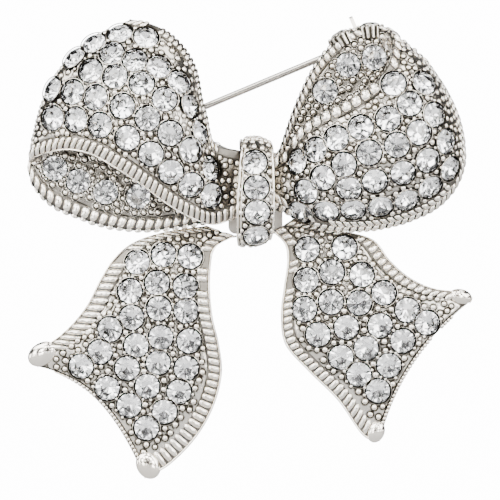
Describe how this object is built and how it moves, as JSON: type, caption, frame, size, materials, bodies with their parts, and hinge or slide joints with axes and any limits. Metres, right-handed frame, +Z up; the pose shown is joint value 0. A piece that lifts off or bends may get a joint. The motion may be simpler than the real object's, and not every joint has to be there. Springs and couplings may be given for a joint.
{
  "type": "brooch",
  "caption": "Ribbon-bow brooch in bright plated cast metal, pavé-set with clear chatons, with a hinged pin stem and a rollover safety catch behind the loops.",
  "frame": {"origin": "On the pin stem's axis, where the stem crosses the bow's centre line.", "axes": "+Z up as the brooch is worn, +X to the viewer's right, the set front faces -Y."},
  "size_m": [0.049, 0.0127, 0.0512],
  "materials": {
    "plated_metal": "rhodium-plated cast metal, polished",
    "fitting_steel": "nickel-plated steel findings",
    "crystal": "foil-backed faceted glass chatons"
  },
  "bodies": {
    "bow": {"catch_housing": "fitting_steel", "hinge_bracket": "fitting_steel", "hinge_rivet": "fitting_steel", "knot_back_plate": "plated_metal", "knot_band": "plated_metal", "knot_band_stones_1": "crystal", "knot_core": "plated_metal", "left_loop_back": "plated_metal", "left_loop_back_stones_1": "crystal", "left_loop_front": "plated_metal", "left_loop_front_stones_1": "crystal", "left_loop_front_stones_2": "crystal", "left_loop_front_stones_3": "crystal", "left_loop_front_stones_4": "crystal", "left_loop_front_stones_5": "crystal", "left_tail": "plated_metal", "left_tail_stones_1": "crystal", "left_tail_stones_2": "crystal", "left_tail_stones_3": "crystal", "left_tail_stones_4": "crystal", "left_tail_stones_5": "crystal", "left_tail_stones_6": "crystal", "left_tail_stones_7": "crystal", "left_tail_stones_8": "crystal", "right_loop_back": "plated_metal", "right_loop_back_stones_1": "crystal", "right_loop_back_stones_2": "crystal", "right_loop_front": "plated_metal", "right_loop_front_stones_1": "crystal", "right_loop_front_stones_2": "crystal", "right_loop_front_stones_3": "crystal", "right_loop_front_stones_4": "crystal", "right_loop_front_stones_5": "crystal", "right_tail": "plated_metal", "right_tail_stones_1": "crystal", "right_tail_stones_2": "crystal", "right_tail_stones_3": "crystal", "right_tail_stones_4": "crystal", "right_tail_stones_5": "crystal", "right_tail_stones_6": "crystal", "right_tail_stones_7": "crystal"},
    "pin": {"pin_stem": "fitting_steel"},
    "rotor": {"catch_rotor": "fitting_steel"}
  },
  "joints": [
    {"name": "pin_hinge", "type": "hinge", "parent": "bow", "child": "pin", "pos_m": [-0.01707, 0, -0.00714], "axis": [-0.3859, 0, 0.9225], "range_deg": [0, 75]},
    {"name": "catch_turn", "type": "hinge", "parent": "bow", "child": "rotor", "pos_m": [0.01107, 0, 0.00463], "axis": [-0.9225, 0, -0.3859], "range_deg": [0, 105]}
  ]
}
